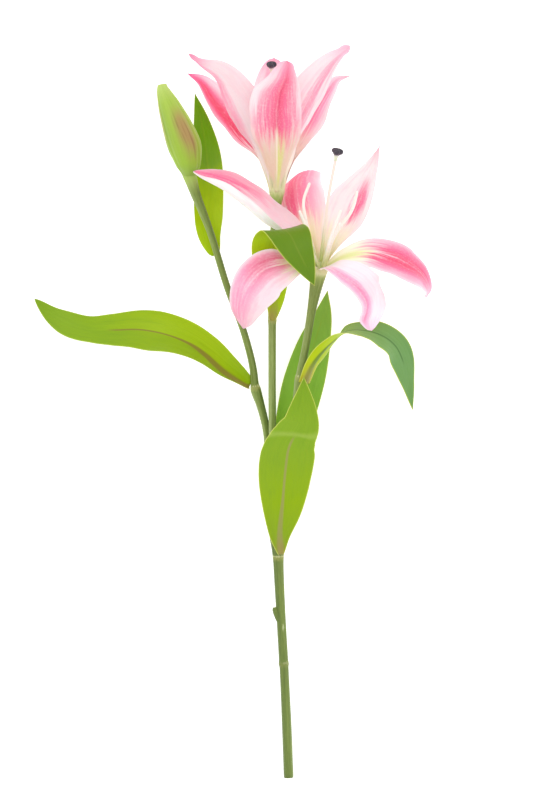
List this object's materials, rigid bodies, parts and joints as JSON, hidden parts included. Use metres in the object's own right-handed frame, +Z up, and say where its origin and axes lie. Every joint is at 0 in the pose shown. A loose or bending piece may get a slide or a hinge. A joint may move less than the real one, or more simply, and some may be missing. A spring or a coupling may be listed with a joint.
{
  "type": "cut lily",
  "caption": "Cut lily lying flat: a long stem that divides into stalks with open pink blooms, a closed green bud and long pointed leaves.",
  "frame": {"origin": "middle of the footprint, on the surface the lily lies on", "axes": "+Y along the stem from the cut end towards the blooms, +X across it to the side of the right leaf, +Z up from the surface"},
  "size_m": [0.3268, 0.6, 0.1188],
  "materials": {
    "stem": "olive green, satin, with fine lengthwise ridges",
    "bud": "pale yellow-green, satin, with a brown-pink streak",
    "leaf": "yellow-green to mid green, smooth, slightly glossy, with light edges",
    "tepal": "matte, pale pink with a streaked deep pink band and a yellow-green throat",
    "filament": "cream white, smooth",
    "stigma": "dark purple-grey, granular, on a pale cone"
  },
  "bodies": {
    "root": {"main_stem": "stem", "bud_stalk": "stem", "upper_bloom_stalk": "stem", "lower_bloom_stalk": "stem", "bud": "bud", "long_leaf": "leaf", "front_leaf": "leaf", "back_leaf": "leaf", "right_leaf": "leaf", "folded_leaf": "leaf", "bud_leaf": "leaf", "upper_front_tepal": "tepal", "upper_back_tepal": "tepal", "upper_left_front_tepal": "tepal", "upper_left_back_tepal": "tepal", "upper_right_front_tepal": "tepal", "upper_right_back_tepal": "tepal", "lower_left_tepal": "tepal", "lower_back_tepal": "tepal", "lower_upper_right_tepal": "tepal", "lower_right_tepal": "tepal", "lower_front_right_tepal": "tepal", "lower_front_left_tepal": "tepal", "upper_filament_1": "filament", "upper_filament_2": "filament", "upper_filament_3": "filament", "upper_filament_4": "filament", "upper_filament_5": "filament", "upper_filament_6": "filament", "upper_style": "filament", "upper_stigma": "stigma", "lower_filament_1": "filament", "lower_filament_2": "filament", "lower_filament_3": "filament", "lower_filament_4": "filament", "lower_filament_5": "filament", "lower_filament_6": "filament", "lower_style": "filament", "lower_stigma": "stigma"}
  },
  "joints": []
}
